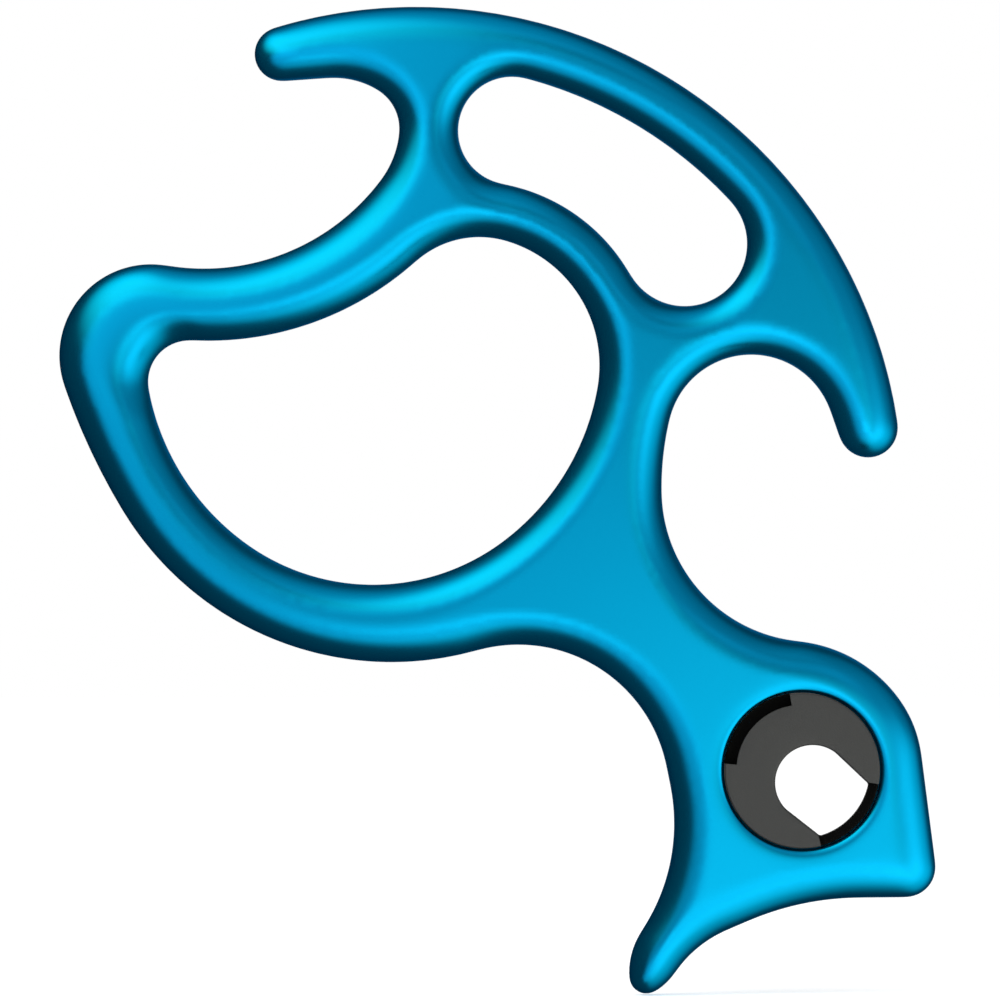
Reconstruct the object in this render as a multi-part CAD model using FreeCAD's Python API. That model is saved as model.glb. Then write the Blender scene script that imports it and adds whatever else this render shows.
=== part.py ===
import FreeCAD, Part
import math
import os

# Figure eight descender: one forged plate with a ring, a slot, a crossbar with two horns, a neck, a bored
# eye, a tail and a tab, and one moulded keeper that is snapped into the eye.
# Millimetres and degrees. The plate stands upright: X runs to the right, Z up and Y through the plate.
# The origin is the centre of the eye, in the middle of the plate.

# Plate
plate = 12.0
wall_share = 0.47
ring_rounding = 4.8
horn_rounding = 4.0
tab_rounding = 3.4
tip_share = 0.95

# Eye, with the rib round its bore that holds the keeper
eye_bore = 24.7
eye_wall = 6.4
bore_rounding = 1.2
rib_width = 3.0
rib_height = 0.9

# Neck, between the hollow below the ring and the notch beside it
notch_gap = 1.15
notch_angle = 87.6
notch_radius = 23.5
shoulder_radius = 21.9
neck_width = 18.9
neck_angle = 46.0
neck_radius = 23.4

# Ring and its long opening. The places of its pegs are shares of the opening's radius.
opening_radius = 33.6
side_flare = 4.4
foot_bar = 13.0
right_bar = 13.7
back_bar = 10.9
back_angle = 227.0
lobe_shares = (0.446, 0.012)
lobe_radius = 20.1
crown_radius = 14.7
crown_angle = 74.0
inner_nose_shares = (-0.848, -0.063)
inner_nose_radius = 6.4
bulge_radius = 48.0
arm_bar = 11.1
arm_angle = -105.6
arm_radius = 34.2
nose_bar = 15.0
nose_angle = 146.0
back_arm_radius = 101.0

# Crossbar and slot
crest_radius = 75.5
crossbar = 8.9
slot_width = 16.4
slot_bar = 8.5
slot_angle = 67.2
slot_left_reach = 10.5
slot_right_reach = 32.0

# Horns
left_horn = 9.5
left_horn_reach = 48.2
left_tip_beyond = 4.2
left_tip_share = 0.445
horn_foot_radius = 13.0
horn_bend_radius = 7.0
horn_bend_angle = 59.0
leg_radius = 14.4
right_horn = 9.8
right_horn_reach = 76.2
right_tip_beyond = 1.4
right_tip_share = 0.475
notch_top_radius = 13.0
notch_side_radius = 46.0

# Tail and tab
flank_radius = 29.9
flank_gap = 0.7
flank_angle = 37.0
tail_length = 24.0
tail_gap = 2.36
tail_tip_radius = 2.65
tail_back_radius = 11.5
tail_front_radius = 9.4
heel_radius = 18.4
heel_gap = 0.9
heel_play = 0.27
tab_wall = 8.1
tab_angle = -81.8
tab_radius = 44.1
corner_out = 8.0
corner_radius = 4.65
corner_gap = 0.55

# Keeper
keeper_gap = 0.35
rib_clearance = 0.1
keeper_recess = 0.5
keeper_chamfer = 0.3
keeper_angle = -43.0
web = 4.0
hole_offset = 2.4
hole_radius = 5.85
lip = 1.6
cusp_radius = 2.5
cusp_angle = 29.5
hole_rounding = 0.5
pocket_wall = 2.15
pocket_angle = 36.2
band_wall = 2.1
band_angle = 32.5

overrun = 1.0

# Shares that settle when two outlines touch and how much play an arc between two pegs keeps
slack_share = 0.02
tangent_share = 1e-9
join_share = 1e-6


class Peg:
    """A circle that an outline bends round: side 1 where it bulges there, -1 where it is hollow.

    The bend on to the next peg is the radius of an arc between them, below zero where that is hollow.
    """

    def __init__(self, x, z, radius, side, rounding=0.0, onward=0.0):
        self.x = x
        self.z = z
        self.radius = radius
        self.side = side
        self.rounding = rounding
        self.onward = onward

    @property
    def bend(self):
        return self.side * self.radius


def limited(rounding, *walls):
    """A rounding that leaves some flat on the thinnest of the walls beside it."""
    return min(rounding, wall_share * min(walls))


def thinned(a, b):
    """Lessens the roundings of two hollows where little metal stands between them."""
    wall = math.hypot(b.x - a.x, b.z - a.z) - a.radius - b.radius
    a.rounding = limited(a.rounding, wall)
    b.rounding = limited(b.rounding, wall)


def moved(x, z, distance, angle):
    """The point at a distance and an angle from another."""
    turn = math.radians(angle)
    return x + distance * math.cos(turn), z + distance * math.sin(turn)


def meeting(a, reach_a, b, reach_b):
    """The point at given distances from two pegs, on the left of the way from the first to the second."""
    dx = b.x - a.x
    dz = b.z - a.z
    gap = math.hypot(dx, dz)
    along = (reach_a**2 - reach_b**2 + gap**2) / (2 * gap)
    aside = math.sqrt(max(0.0, reach_a**2 - along**2))
    return a.x + (along * dx - aside * dz) / gap, a.z + (along * dz + aside * dx) / gap


def inside(outer, angle, radius, rounding):
    """A peg within another that touches it at an angle."""
    x, z = moved(outer.x, outer.z, outer.radius - radius, angle)
    return Peg(x, z, radius, outer.side, rounding)


def wedged(outer, inner, angle, rounding):
    """The peg within one peg that touches another from outside, at an angle about the first."""
    turn = math.radians(angle)
    dx = inner.x - outer.x
    dz = inner.z - outer.z
    lean = dx * math.cos(turn) + dz * math.sin(turn)
    free = outer.radius**2 + dx**2 + dz**2 - inner.radius**2 - 2 * lean * outer.radius
    return inside(outer, angle, free / (2 * (outer.radius + inner.radius - lean)), rounding)


def swollen(core, angle, bar, neighbour, rounding):
    """A peg round a smaller one, a bar outside it at an angle, that touches a neighbour from outside."""
    turn = math.radians(angle + 180)
    dx = core.x - neighbour.x
    dz = core.z - neighbour.z
    reach = core.radius + bar + neighbour.radius
    lean = dx * math.cos(turn) + dz * math.sin(turn)
    shift = (dx**2 + dz**2 - reach**2) / (2 * (reach - lean))
    x, z = moved(core.x, core.z, shift, angle + 180)
    return Peg(x, z, core.radius + bar + shift, 1, rounding)


def nested(a, b):
    """Whether one peg lies so far within the other that no straight line touches both."""
    return math.hypot(b.x - a.x, b.z - a.z) < abs(b.bend - a.bend)


def bridge(a, b):
    """The peg of the arc from one peg to the next: none where they touch or a straight line joins them."""
    gap = math.hypot(b.x - a.x, b.z - a.z)
    if abs(gap - abs(b.bend - a.bend)) < join_share * plate:
        return []
    middle = (a.bend + b.bend) / 2
    spare = (0.5 - slack_share) * gap
    bend = a.onward
    if nested(a, b):
        bend = min(max(bend or middle, middle - spare), middle + spare)
    elif abs(bend) < (0.5 + slack_share) * gap + math.copysign(1, bend) * middle or not bend:
        return []
    choices = []
    for first, last in ((a, b), (b, a)):
        x, z = meeting(first, abs(bend - first.bend), last, abs(bend - last.bend))
        choices.append(Peg(x, z, abs(bend), math.copysign(1, bend)))
    return [min(choices, key=lambda peg: (heading(peg, b) - heading(a, peg)) * peg.side % (2 * math.pi))]


def threaded(pegs):
    """The pegs that the outline touches, with the arcs between them: one that it passes by is left out."""
    pegs = list(pegs)
    while True:
        chain = []
        for place, peg in enumerate(pegs):
            chain += [peg] + bridge(peg, pegs[(place + 1) % len(pegs)])
        turns = {}
        for place, peg in enumerate(chain):
            after = chain[(place + 1) % len(chain)]
            turns[peg] = swept(peg, heading(chain[place - 1], peg), heading(peg, after))
        loose = min(pegs, key=lambda peg: turns[peg])
        if turns[loose] > 0:
            return chain
        pegs.remove(loose)


def heading(a, b):
    """The direction of the line that leads from one peg to the next."""
    dx = b.x - a.x
    dz = b.z - a.z
    lean = (b.bend - a.bend) / math.hypot(dx, dz)
    if abs(lean) > 1 - tangent_share:
        lean = math.copysign(1, lean)
    return math.atan2(dz, dx) - math.asin(lean)


def touched(peg, way):
    """The point of a peg where the outline runs in a direction."""
    x = peg.x + peg.bend * math.sin(way)
    z = peg.z - peg.bend * math.cos(way)
    return FreeCAD.Vector(x, 0, z)


def swept(peg, way_in, way_out):
    """How far the outline turns round a peg."""
    return ((way_out - way_in) * peg.side + math.pi / 2) % (2 * math.pi) - math.pi / 2


def arcs(chain):
    """The arc round each peg of a threaded chain."""
    ways = [heading(peg, after) for peg, after in zip(chain, chain[1:] + chain[:1])]
    shapes = []
    for place, peg in enumerate(chain):
        way_in = ways[place - 1]
        way_out = way_in + peg.side * swept(peg, way_in, ways[place])
        middle = (way_in + way_out) / 2
        shapes.append(Part.Arc(touched(peg, way_in), touched(peg, middle), touched(peg, way_out)).toShape())
    return shapes


def outline(pegs):
    """The arcs and lines of a closed outline round the pegs, each with the rounding at its two ends."""
    chain = threaded(pegs)
    shapes = arcs(chain)
    pieces = []
    for place, peg in enumerate(chain):
        following = (place + 1) % len(chain)
        before = shared_rounding(chain[place - 1], peg)
        after = shared_rounding(peg, chain[following])
        pieces.append((shapes[place], before, after))
        end = shapes[place].valueAt(shapes[place].LastParameter)
        onward = shapes[following].valueAt(shapes[following].FirstParameter)
        if end.distanceToPoint(onward) > join_share * plate:
            pieces.append((Part.LineSegment(end, onward).toShape(), after, after))
    return pieces


def fitted(loops):
    """Lessens each peg's rounding where little metal stands between its arc and the other outlines."""
    wires = [Part.Wire([piece[0] for piece in outline(loop)]) for loop in loops]
    for loop in loops:
        chain = threaded(loop)
        for peg, arc in zip(chain, arcs(chain)):
            for other, wire in zip(loops, wires):
                if other is not loop and peg.rounding:
                    peg.rounding = limited(peg.rounding, arc.distToShape(wire)[0])


def shared_rounding(a, b):
    """The rounding where two pegs meet: the smaller one, or the only one that is given."""
    given = [peg.rounding for peg in (a, b) if peg.rounding]
    return min(given)


def prism(pegs, depth):
    """A straight block of an outline, centred on the middle of the plate."""
    wire = Part.Wire([piece[0] for piece in outline(pegs)])
    block = Part.Face(wire).extrude(FreeCAD.Vector(0, depth, 0))
    block.translate(FreeCAD.Vector(0, -depth / 2, 0))
    return block


def rounded(body, pegs, depth):
    """The body with both edges of an outline rounded, by the rounding of the pegs that they pass."""
    corners = {}
    for edge, first, last in outline(pegs):
        corners[spot(edge.valueAt(edge.FirstParameter))] = first
        corners[spot(edge.valueAt(edge.LastParameter))] = last
    picked = []
    for number, edge in enumerate(body.Edges, 1):
        ends = [edge.valueAt(edge.FirstParameter), edge.valueAt(edge.LastParameter)]
        if edge.Orientation == "Reversed":
            ends.reverse()
        on_face = all(abs(abs(end.y) - depth / 2) < join_share * depth for end in ends)
        level = ends[0].y * ends[1].y > 0
        if on_face and level and all(spot(end) in corners for end in ends):
            picked.append((number, corners[spot(ends[0])], corners[spot(ends[1])]))
    document = FreeCAD.newDocument()
    base = document.addObject("Part::Feature", "base")
    base.Shape = body
    fillet = document.addObject("Part::Fillet", "fillet")
    fillet.Base = base
    fillet.Edges = picked
    document.recompute()
    shape = fillet.Shape.copy()
    FreeCAD.closeDocument(document.Name)
    return shape


def spot(point):
    """A corner's place in the plane of the plate, as a key."""
    return round(point.x / plate, 3), round(point.z / plate, 3)


def cylinder(radius, depth):
    """A round block about the eye's axis, centred on the middle of the plate."""
    start = FreeCAD.Vector(0, -depth / 2, 0)
    return Part.makeCylinder(radius, depth, start, FreeCAD.Vector(0, 1, 0))


def neck_pegs():
    """The eye's wall, the foot of the notch beside the neck and the hollow on its other side."""
    beside_bore = tip_share * (eye_wall - bore_rounding)
    rounding = min(limited(tab_rounding, plate), beside_bore)
    eye = Peg(0, 0, eye_bore / 2 + eye_wall, 1, rounding, shoulder_radius)
    x, z = moved(0, 0, eye.radius + notch_gap + notch_radius, notch_angle)
    notch = Peg(x, z, notch_radius, -1, limited(horn_rounding, plate, right_bar), -notch_side_radius)
    x, z = moved(x, z, -(notch_radius + neck_width + neck_radius), neck_angle)
    hollow = Peg(x, z, neck_radius, -1, limited(ring_rounding, plate, neck_width, foot_bar))
    return eye, notch, hollow


def opening_pegs(notch, hollow):
    """The long opening of the ring, from its low arc round the lobe, the bulge and the nose."""
    ring = limited(ring_rounding, plate, arm_bar, back_bar, foot_bar)
    lean = limited(horn_rounding, plate, slot_bar)
    to_hollow = hollow.radius + foot_bar + opening_radius
    to_notch = notch.radius + right_bar + opening_radius
    x, z = meeting(hollow, to_hollow, notch, to_notch)
    flare = opening_radius + side_flare
    low = Peg(x, z, opening_radius, 1, ring, flare)
    lobe_x = x + lobe_shares[0] * opening_radius
    lobe_z = z + lobe_shares[1] * opening_radius
    lobe = Peg(lobe_x, lobe_z, lobe_radius, 1, lean)
    crown = inside(lobe, crown_angle, crown_radius, lean)
    crown.onward = -bulge_radius
    nose_x = x + inner_nose_shares[0] * opening_radius
    nose_z = z + inner_nose_shares[1] * opening_radius
    nose = Peg(nose_x, nose_z, inner_nose_radius, 1, ring, flare)
    return [low, lobe, crown, nose]


def crest_peg(lobe):
    """The long outer arc of the crossbar, as far out as the slot and its two bars make it."""
    rounding = limited(horn_rounding, plate, crossbar, left_horn, right_horn)
    reach = crest_radius - crossbar - slot_width - slot_bar - lobe.radius
    x, z = moved(lobe.x, lobe.z, -reach, slot_angle)
    return Peg(x, z, crest_radius, 1, rounding)


def along_crest(reach):
    """The angle about the crest's centre of a point that far to the left of the slot's narrowest bar."""
    return slot_angle + math.degrees(reach / crest_radius)


def slot_pegs(crest, lobe):
    """The slot between the crossbar and the ring."""
    rounding = limited(horn_rounding, plate, crossbar, slot_bar)
    far = Peg(crest.x, crest.z, crest.radius - crossbar, 1, rounding)
    near = Peg(lobe.x, lobe.z, lobe.radius + slot_bar, -1, rounding)
    left = wedged(far, near, along_crest(slot_left_reach), rounding)
    right = wedged(far, near, along_crest(-slot_right_reach), rounding)
    return [far, left, near, right]


def left_horn_pegs(crest):
    """The left horn's tip and the hollow under it."""
    tip_radius = left_tip_share * left_horn
    place = along_crest(left_horn_reach + left_tip_beyond)
    tip = inside(crest, place, tip_radius, min(crest.rounding, tip_share * tip_radius))
    reach = crest.radius - left_horn - horn_foot_radius
    x, z = moved(crest.x, crest.z, reach, along_crest(left_horn_reach))
    foot = Peg(x, z, horn_foot_radius, -1, crest.rounding)
    bend = inside(foot, horn_bend_angle, horn_bend_radius, crest.rounding)
    bend.onward = -leg_radius
    return [tip, foot, bend]


def right_horn_pegs(crest):
    """The top of the notch and the right horn's tip."""
    reach = crest.radius - right_horn - notch_top_radius
    x, z = moved(crest.x, crest.z, reach, along_crest(-right_horn_reach))
    top = Peg(x, z, notch_top_radius, -1, crest.rounding)
    tip_radius = right_tip_share * right_horn
    place = along_crest(-right_horn_reach - right_tip_beyond)
    tip = inside(crest, place, tip_radius, min(crest.rounding, tip_share * tip_radius))
    return [top, tip]


def ring_pegs(bulge, inner_nose, low, hollow):
    """The outside of the ring: the upper arm, the nose, the back arm and the long low arc."""
    rounding = limited(ring_rounding, plate, arm_bar, back_bar, foot_bar)
    x, z = moved(bulge.x, bulge.z, bulge.radius - arm_bar - arm_radius, arm_angle)
    arm = Peg(x, z, arm_radius, -1, rounding)
    nose = swollen(inner_nose, nose_angle, nose_bar, arm, rounding)
    nose.onward = back_arm_radius
    return [arm, nose, swollen(low, back_angle, back_bar, hollow, rounding)]


def tail_pegs(hollow, eye):
    """The tail's flank, its tip, the heel behind it, the foot of the tab and its corner."""
    tip_rounding = min(tab_rounding, tip_share * tail_tip_radius)
    x, z = moved(hollow.x, hollow.z, hollow.radius - flank_radius - flank_gap, flank_angle)
    flank = Peg(x, z, flank_radius, -1, eye.rounding, tail_back_radius)
    to_flank = flank_radius + tail_gap + tail_tip_radius
    x, z = meeting(eye, eye.radius + tail_length - tail_tip_radius, flank, to_flank)
    tip = Peg(x, z, tail_tip_radius, 1, tip_rounding, tail_front_radius)
    x, z = moved(eye.x, eye.z, eye_bore / 2 + tab_wall + tab_radius, tab_angle)
    foot = Peg(x, z, tab_radius, -1, eye.rounding)
    to_tip = tail_tip_radius + heel_gap + heel_radius
    x, z = meeting(tip, to_tip, foot, tab_radius - heel_radius + heel_play)
    heel = Peg(x, z, heel_radius, -1, eye.rounding)
    thinned(flank, heel)
    to_foot = foot.radius + corner_gap + corner_radius
    x, z = meeting(eye, eye.radius + corner_out - corner_radius, foot, to_foot)
    corner = Peg(x, z, corner_radius, 1, min(eye.rounding, tip_share * corner_radius))
    return [flank, tip, heel, foot, corner]


def outer_pegs(eye, notch, hollow, opening, crest):
    """The whole outer outline, from the crest to the left and round to the right horn."""
    left = left_horn_pegs(crest)
    right = right_horn_pegs(crest)
    low, lobe, crown, nose = opening
    bulge = bridge(crown, nose)[0]
    ring = ring_pegs(bulge, nose, low, hollow)
    return [crest] + left + ring + [hollow] + tail_pegs(hollow, eye) + [eye, notch] + right


def bored(body):
    """The body with the eye's bore, its rounded rims and the rib that the keeper sits on."""
    radius = eye_bore / 2
    body = body.cut(cylinder(radius, plate + 2 * overrun))
    rims = []
    for edge in body.Edges:
        round_edge = isinstance(edge.Curve, Part.Circle) and edge.isClosed()
        if round_edge and abs(edge.Curve.Radius - radius) < join_share * radius:
            rims.append(edge)
    body = body.makeFillet(limited(bore_rounding, plate, eye_wall), rims)
    rib = cylinder(radius + overrun, rib_width).cut(cylinder(radius - rib_height, rib_width + 2 * overrun))
    return body.fuse(rib)


def descender_body():
    """The forged plate."""
    eye, notch, hollow = neck_pegs()
    opening = opening_pegs(notch, hollow)
    lobe = opening[1]
    crest = crest_peg(lobe)
    slot = slot_pegs(crest, lobe)
    outer = outer_pegs(eye, notch, hollow, opening, crest)
    fitted([slot, opening, outer])
    body = prism(outer, plate)
    for hole in (slot, opening):
        body = body.cut(prism(hole, plate + 2 * overrun))
    for loop in (slot, opening, outer):
        body = rounded(body, loop, plate)
    return bored(body)


def sector(inner, outer, middle, half, near, far):
    """A block of a ring about the eye's axis, between two angles and two depths."""
    ends = [middle - half, middle + half]
    corners = [FreeCAD.Vector(x, near, z) for x, z in (
        moved(0, 0, inner, ends[0]), moved(0, 0, outer, ends[0]),
        moved(0, 0, outer, ends[1]), moved(0, 0, inner, ends[1]))]
    tops = [FreeCAD.Vector(x, near, z) for x, z in (moved(0, 0, outer, middle), moved(0, 0, inner, middle))]
    edges = [
        Part.LineSegment(corners[0], corners[1]).toShape(),
        Part.Arc(corners[1], tops[0], corners[2]).toShape(),
        Part.LineSegment(corners[2], corners[3]).toShape(),
        Part.Arc(corners[3], tops[1], corners[0]).toShape(),
    ]
    return Part.Face(Part.Wire(edges)).extrude(FreeCAD.Vector(0, far - near, 0))


def keeper_hole_pegs():
    """The keeper's opening: a round far end, two flanks, and a closing arc about the eye's centre."""
    closing = Peg(0, 0, eye_bore / 2 - lip, 1)
    x, z = moved(0, 0, hole_offset, keeper_angle)
    far = Peg(x, z, hole_radius, 1)
    low = inside(closing, keeper_angle - cusp_angle, cusp_radius, 0.0)
    high = inside(closing, keeper_angle + cusp_angle, cusp_radius, 0.0)
    for peg in (closing, far, low, high):
        peg.rounding = hole_rounding
    return [far, low, closing, high]


def karabiner_insert():
    """The moulded keeper: two flanges joined by a waist that sits within the rib of the eye."""
    radius = eye_bore / 2 - keeper_gap
    depth = plate - 2 * keeper_recess
    keeper = cylinder(radius, depth)
    rims = [edge for edge in keeper.Edges if isinstance(edge.Curve, Part.Circle)]
    keeper = keeper.makeChamfer(keeper_chamfer, rims)
    groove_width = rib_width + 2 * rib_clearance
    waist = eye_bore / 2 - rib_height - rib_clearance
    keeper = keeper.cut(cylinder(radius + overrun, groove_width).cut(cylinder(waist, plate)))
    hole = keeper_hole_pegs()
    keeper = keeper.cut(prism(hole, plate + 2 * overrun))
    keeper = rounded(keeper, hole, depth)
    for side in (-1, 1):
        near = side * web / 2
        far = side * (depth / 2 + overrun)
        pocket = sector(eye_bore / 2 - pocket_wall, radius + overrun, keeper_angle + 180, pocket_angle, near, far)
        band = sector(eye_bore / 2 - band_wall, radius + overrun, keeper_angle, band_angle, near, far)
        keeper = keeper.cut(pocket).cut(band)
    return keeper


def main():
    os.makedirs("parts", exist_ok=True)
    for make in (descender_body, karabiner_insert):
        shape = make()
        print(make.__name__, "valid", shape.isValid(), "solids", len(shape.Solids), "volume", round(shape.Volume))
        shape.exportStep("parts/" + make.__name__ + ".step")


main()
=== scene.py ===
"""A figure eight descender of blue anodised aluminium with a black moulded keeper, in a plain studio."""

import logging
import math
from dataclasses import dataclass, field
from enum import Enum
from typing import Any, Sequence

import bmesh
import bpy
import numpy as np
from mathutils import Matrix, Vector
from mathutils.geometry import delaunay_2d_cdt


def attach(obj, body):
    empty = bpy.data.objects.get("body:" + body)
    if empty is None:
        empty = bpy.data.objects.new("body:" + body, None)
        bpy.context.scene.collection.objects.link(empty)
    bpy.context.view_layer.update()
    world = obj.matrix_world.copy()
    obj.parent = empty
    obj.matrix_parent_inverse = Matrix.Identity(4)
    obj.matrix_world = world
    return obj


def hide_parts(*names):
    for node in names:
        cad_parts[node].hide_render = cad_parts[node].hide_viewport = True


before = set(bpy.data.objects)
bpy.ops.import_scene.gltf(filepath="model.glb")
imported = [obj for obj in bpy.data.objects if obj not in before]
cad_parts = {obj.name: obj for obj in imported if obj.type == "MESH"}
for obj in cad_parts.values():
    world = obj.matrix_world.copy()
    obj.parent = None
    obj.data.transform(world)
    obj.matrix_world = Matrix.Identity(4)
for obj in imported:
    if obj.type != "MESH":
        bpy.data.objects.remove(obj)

LOG = logging.getLogger("descender")
MM = 0.001
WELD = 1e-6
CORNERS = ((-1, -1), (1, -1), (1, 1), (-1, 1))
Tree = bpy.types.NodeTree
Node = bpy.types.Node


# Helpers shared by the finishes and the shapes


def linear(hex_colour: str) -> tuple[float, float, float, float]:
    """Turns an sRGB hex colour into linear values.

    Args:
        hex_colour: A hash and six hex digits.

    Returns:
        Linear red, green and blue, and a full alpha.
    """
    digits = hex_colour.lstrip("#")
    parts = [int(digits[i : i + 2], 16) / 255 for i in (0, 2, 4)]
    return (*[p / 12.92 if p <= 0.04045 else ((p + 0.055) / 1.055) ** 2.4 for p in parts], 1.0)


def add_node(tree: Tree, kind: str, links: dict[Any, Any] | None = None, **settings: Any) -> Node:
    """Adds a node to a tree with its settings, values and links.

    Args:
        tree: The node tree.
        kind: The node's type name.
        links: Input name or number to a socket to link from, or to a value to set.
        **settings: Attributes of the node.

    Returns:
        The new node.
    """
    node = tree.nodes.new(kind)
    for name, value in settings.items():
        setattr(node, name, value)
    for key, value in (links or {}).items():
        socket = node.inputs[key]
        if isinstance(value, bpy.types.NodeSocket):
            tree.links.new(value, socket)
        else:
            socket.default_value = value
    return node


def new_material(name: str, surface: dict[str, Any] | None = None) -> tuple[bpy.types.Material, Tree]:
    """Makes a material with the usual surface shader, or with no nodes yet for a glowing one.

    Args:
        name: The material's name.
        surface: Values for the shader's own sockets, or None for a glowing material.

    Returns:
        The material and its node tree.
    """
    material = bpy.data.materials.new(name)
    material.use_nodes = True
    nodes = material.node_tree.nodes
    if surface is None:
        nodes.clear()
    for socket, value in (surface or {}).items():
        nodes["Principled BSDF"].inputs[socket].default_value = value
    return material, material.node_tree


def relief(tree: Tree, size_mm: float, depth_mm: float, strength: float = 1.0, detail: float = 2.0) -> Any:
    """Gives a material's surface a fine uneven relief.

    Args:
        tree: The material's node tree.
        size_mm: The width of its grains.
        depth_mm: Their depth.
        strength: How much of it shows.
        detail: How many finer layers it has.

    Returns:
        The relief's height from 0 to 1, as a socket.
    """
    place = add_node(tree, "ShaderNodeTexCoord").outputs["Object"]
    noise = add_node(
        tree, "ShaderNodeTexNoise", {"Vector": place, "Scale": 1 / (size_mm * MM), "Detail": detail}
    ).outputs[0]
    settings = {"Height": noise, "Distance": depth_mm * MM, "Strength": strength}
    bump = add_node(tree, "ShaderNodeBump", settings)
    tree.links.new(bump.outputs[0], tree.nodes["Principled BSDF"].inputs["Normal"])
    return noise


def mesh_object(name: str, mesh: bpy.types.Mesh) -> bpy.types.Object:
    """Puts a mesh into the scene as an object at the origin.

    Args:
        name: The object's and the mesh's name.
        mesh: The mesh.

    Returns:
        The new object.
    """
    mesh.name = name
    obj = bpy.data.objects.new(name, mesh)
    bpy.context.scene.collection.objects.link(obj)
    return obj


def face_outwards(mesh: bpy.types.Mesh) -> None:
    """Turns the faces of a closed mesh outwards and logs its open edges.

    Args:
        mesh: The mesh.
    """
    shell = bmesh.new()
    shell.from_mesh(mesh)
    bmesh.ops.recalc_face_normals(shell, faces=shell.faces)
    LOG.info("%s: %d open edges", mesh.name, sum(not edge.is_manifold for edge in shell.edges))
    shell.to_mesh(mesh)
    shell.free()


def smooth_step(value: np.ndarray, low: float, high: float) -> np.ndarray:
    """A soft step from 0 at low to 1 at high.

    Args:
        value: The values to map.
        low: Where the step starts.
        high: Where the step ends.

    Returns:
        Values from 0 to 1.
    """
    share = np.clip((value - low) / (high - low), 0, 1)
    return share * share * (3 - 2 * share)


# Finishes


@dataclass(frozen=True)
class AnodisedAluminium:
    """Hot-forged aluminium alloy, bead-blasted to a satin and anodised in blue.

    The blasted grain under the clear dyed layer spreads each reflection softly, and the dye tints it,
    so the metal has no white glints and goes from bright cyan to a dark petrol blue.
    """

    name: str = "anodised_aluminium"
    dye: str = "#059ED5"
    dye_deep: str = "#049AD0"
    edge_tint: str = "#4F93AE"
    roughness: float = 0.29
    roughness_spread: float = 0.015
    bath_mm: float = 30.0
    grain_mm: float = 0.35
    grain_depth_mm: float = 0.0015
    grain_strength: float = 0.5

    def material(self) -> bpy.types.Material:
        """Builds the dyed metal, with blasted grain and a slow change of the dye's depth.

        Returns:
            The material.
        """
        # Light at a low angle passes more of the dyed layer, so the tint keeps the rims dark
        surface = {"Metallic": 1.0, "Specular Tint": linear(self.edge_tint)}
        material, tree = new_material(self.name, surface)
        shader = tree.nodes["Principled BSDF"]
        place = add_node(tree, "ShaderNodeTexCoord").outputs["Object"]
        # The dye takes a little unevenly over some 30 mm
        bath = add_node(
            tree, "ShaderNodeTexNoise", {"Vector": place, "Scale": 1 / (self.bath_mm * MM), "Detail": 2.0}
        )
        shades = {0: bath.outputs[0], 6: linear(self.dye_deep), 7: linear(self.dye)}
        dye = add_node(tree, "ShaderNodeMix", shades, data_type="RGBA")
        tree.links.new(dye.outputs[2], shader.inputs["Base Color"])
        # Blasted grain, drawn some two pixels wide so that it shows at all
        grain = relief(tree, self.grain_mm, self.grain_depth_mm, self.grain_strength, detail=3.0)
        # Most of the noise lies between these two values
        least, most = 0.3, 0.7
        smoother, rougher = self.roughness - self.roughness_spread, self.roughness + self.roughness_spread
        rough = add_node(tree, "ShaderNodeMapRange", {0: grain, 1: least, 2: most, 3: smoother, 4: rougher})
        tree.links.new(rough.outputs[0], shader.inputs["Roughness"])
        return material


@dataclass(frozen=True)
class MouldedElastomer:
    """A black thermoplastic elastomer from a spark-eroded mould.

    It has a fine matt texture that turns grey under a broad light. Its recesses get a second, near-black
    material of painted shade.
    """

    name: str = "moulded_elastomer"
    colour: str = "#27282A"
    colour_deep: str = "#1F2022"
    roughness: float = 0.55
    ior: float = 1.52
    texture_mm: float = 0.25
    texture_depth_mm: float = 0.02
    texture_strength: float = 0.6

    def material(self) -> bpy.types.Material:
        """Builds the dark elastomer, with fine mould texture.

        Returns:
            The material.
        """
        material, tree = new_material(self.name, {"Roughness": self.roughness, "IOR": self.ior})
        texture = relief(tree, self.texture_mm, self.texture_depth_mm, self.texture_strength)
        shades = {0: texture, 6: linear(self.colour_deep), 7: linear(self.colour)}
        shade = add_node(tree, "ShaderNodeMix", shades, data_type="RGBA")
        tree.links.new(shade.outputs[2], tree.nodes["Principled BSDF"].inputs["Base Color"])
        return material


@dataclass(frozen=True)
class PaintedShadeElastomer:
    """The same elastomer, painted near-black in the keeper's recesses as painted shade.

    Its colour and its low sheen are painted shade, where the walls and the bore would shade it.
    """

    name: str = "recess_painted_shade"
    # Near-black: painted shade in the recesses
    colour: str = "#040404"
    roughness: float = 0.5
    painted_shade_specular: float = 0.04
    ior: float = 1.45
    ripple_mm: float = 0.8
    ripple_depth_mm: float = 0.01

    def material(self) -> bpy.types.Material:
        """Builds the near-black elastomer of painted shade, with a faint ripple.

        Returns:
            The material.
        """
        surface = {
            "Base Color": linear(self.colour),
            "Roughness": self.roughness,
            "IOR": self.ior,
            # Specular turned low: painted shade from the studio's near panels, which the eye's bore doesn't
            # block in reflections
            "Specular IOR Level": self.painted_shade_specular,
        }
        material, tree = new_material(self.name, surface)
        relief(tree, self.ripple_mm, self.ripple_depth_mm)
        return material


# The forged plate


@dataclass(frozen=True)
class Zone:
    """A round region of the plate with a roll-over of its own, which fades between two distances.

    Sizes are in millimetres.
    """

    centre: tuple[float, float]
    roll: float
    near: float
    far: float

    def share(self, places: np.ndarray) -> np.ndarray:
        """1 about the middle of the region and 0 outside it."""
        return 1 - smooth_step(np.hypot(*(places - np.array(self.centre)).T), self.near, self.far)


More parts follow.
